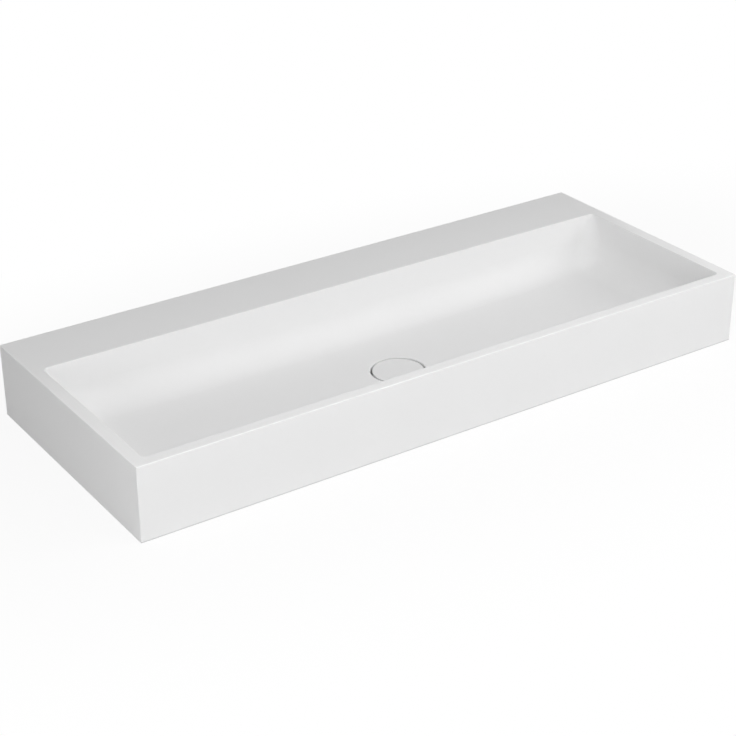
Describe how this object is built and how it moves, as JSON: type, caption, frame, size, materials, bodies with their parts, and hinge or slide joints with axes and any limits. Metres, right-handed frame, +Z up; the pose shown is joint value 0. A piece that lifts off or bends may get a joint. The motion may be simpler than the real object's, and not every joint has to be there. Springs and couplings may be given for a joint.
{
  "type": "countertop basin",
  "caption": "Wide white countertop trough basin for shared use, with a broad rear deck, a floor that falls to a flush round drain cover, and a free-flow waste with a lift-out hair comb.",
  "frame": {"origin": "middle of the basin's base footprint, on the plane where it rests on the worktop", "axes": "+X to the right along the basin's length, -Y to the front, +Z up"},
  "size_m": [1.2, 0.485, 0.1675],
  "materials": {
    "mineral_cast": "satin",
    "cover_cast": "satin",
    "chromed_brass": "polished",
    "black_rubber": "matte",
    "washer_plastic": "satin",
    "nut_brass": "satin",
    "comb_plastic": "satin",
    "carrier_plastic": "satin",
    "screw_steel": "satin",
    "pad_silicone": "matte"
  },
  "bodies": {
    "basin": {"basin_body": "mineral_cast", "waste_body": "chromed_brass", "flange_seal": "black_rubber", "lower_seal": "black_rubber", "slip_washer": "washer_plastic", "back_nut": "nut_brass"},
    "comb": {"comb_insert": "comb_plastic"},
    "cover": {"drain_cover": "cover_cast", "cover_carrier": "carrier_plastic", "cover_screws": "screw_steel", "foot_pads": "pad_silicone"}
  },
  "joints": [
    {"name": "comb_lift", "type": "slide", "parent": "basin", "child": "comb", "axis": [0, 0, 1], "range_m": [0, 0.08]},
    {"name": "cover_lift", "type": "slide", "parent": "comb", "child": "cover", "axis": [0, 0, 1], "range_m": [0, 0.06]}
  ]
}
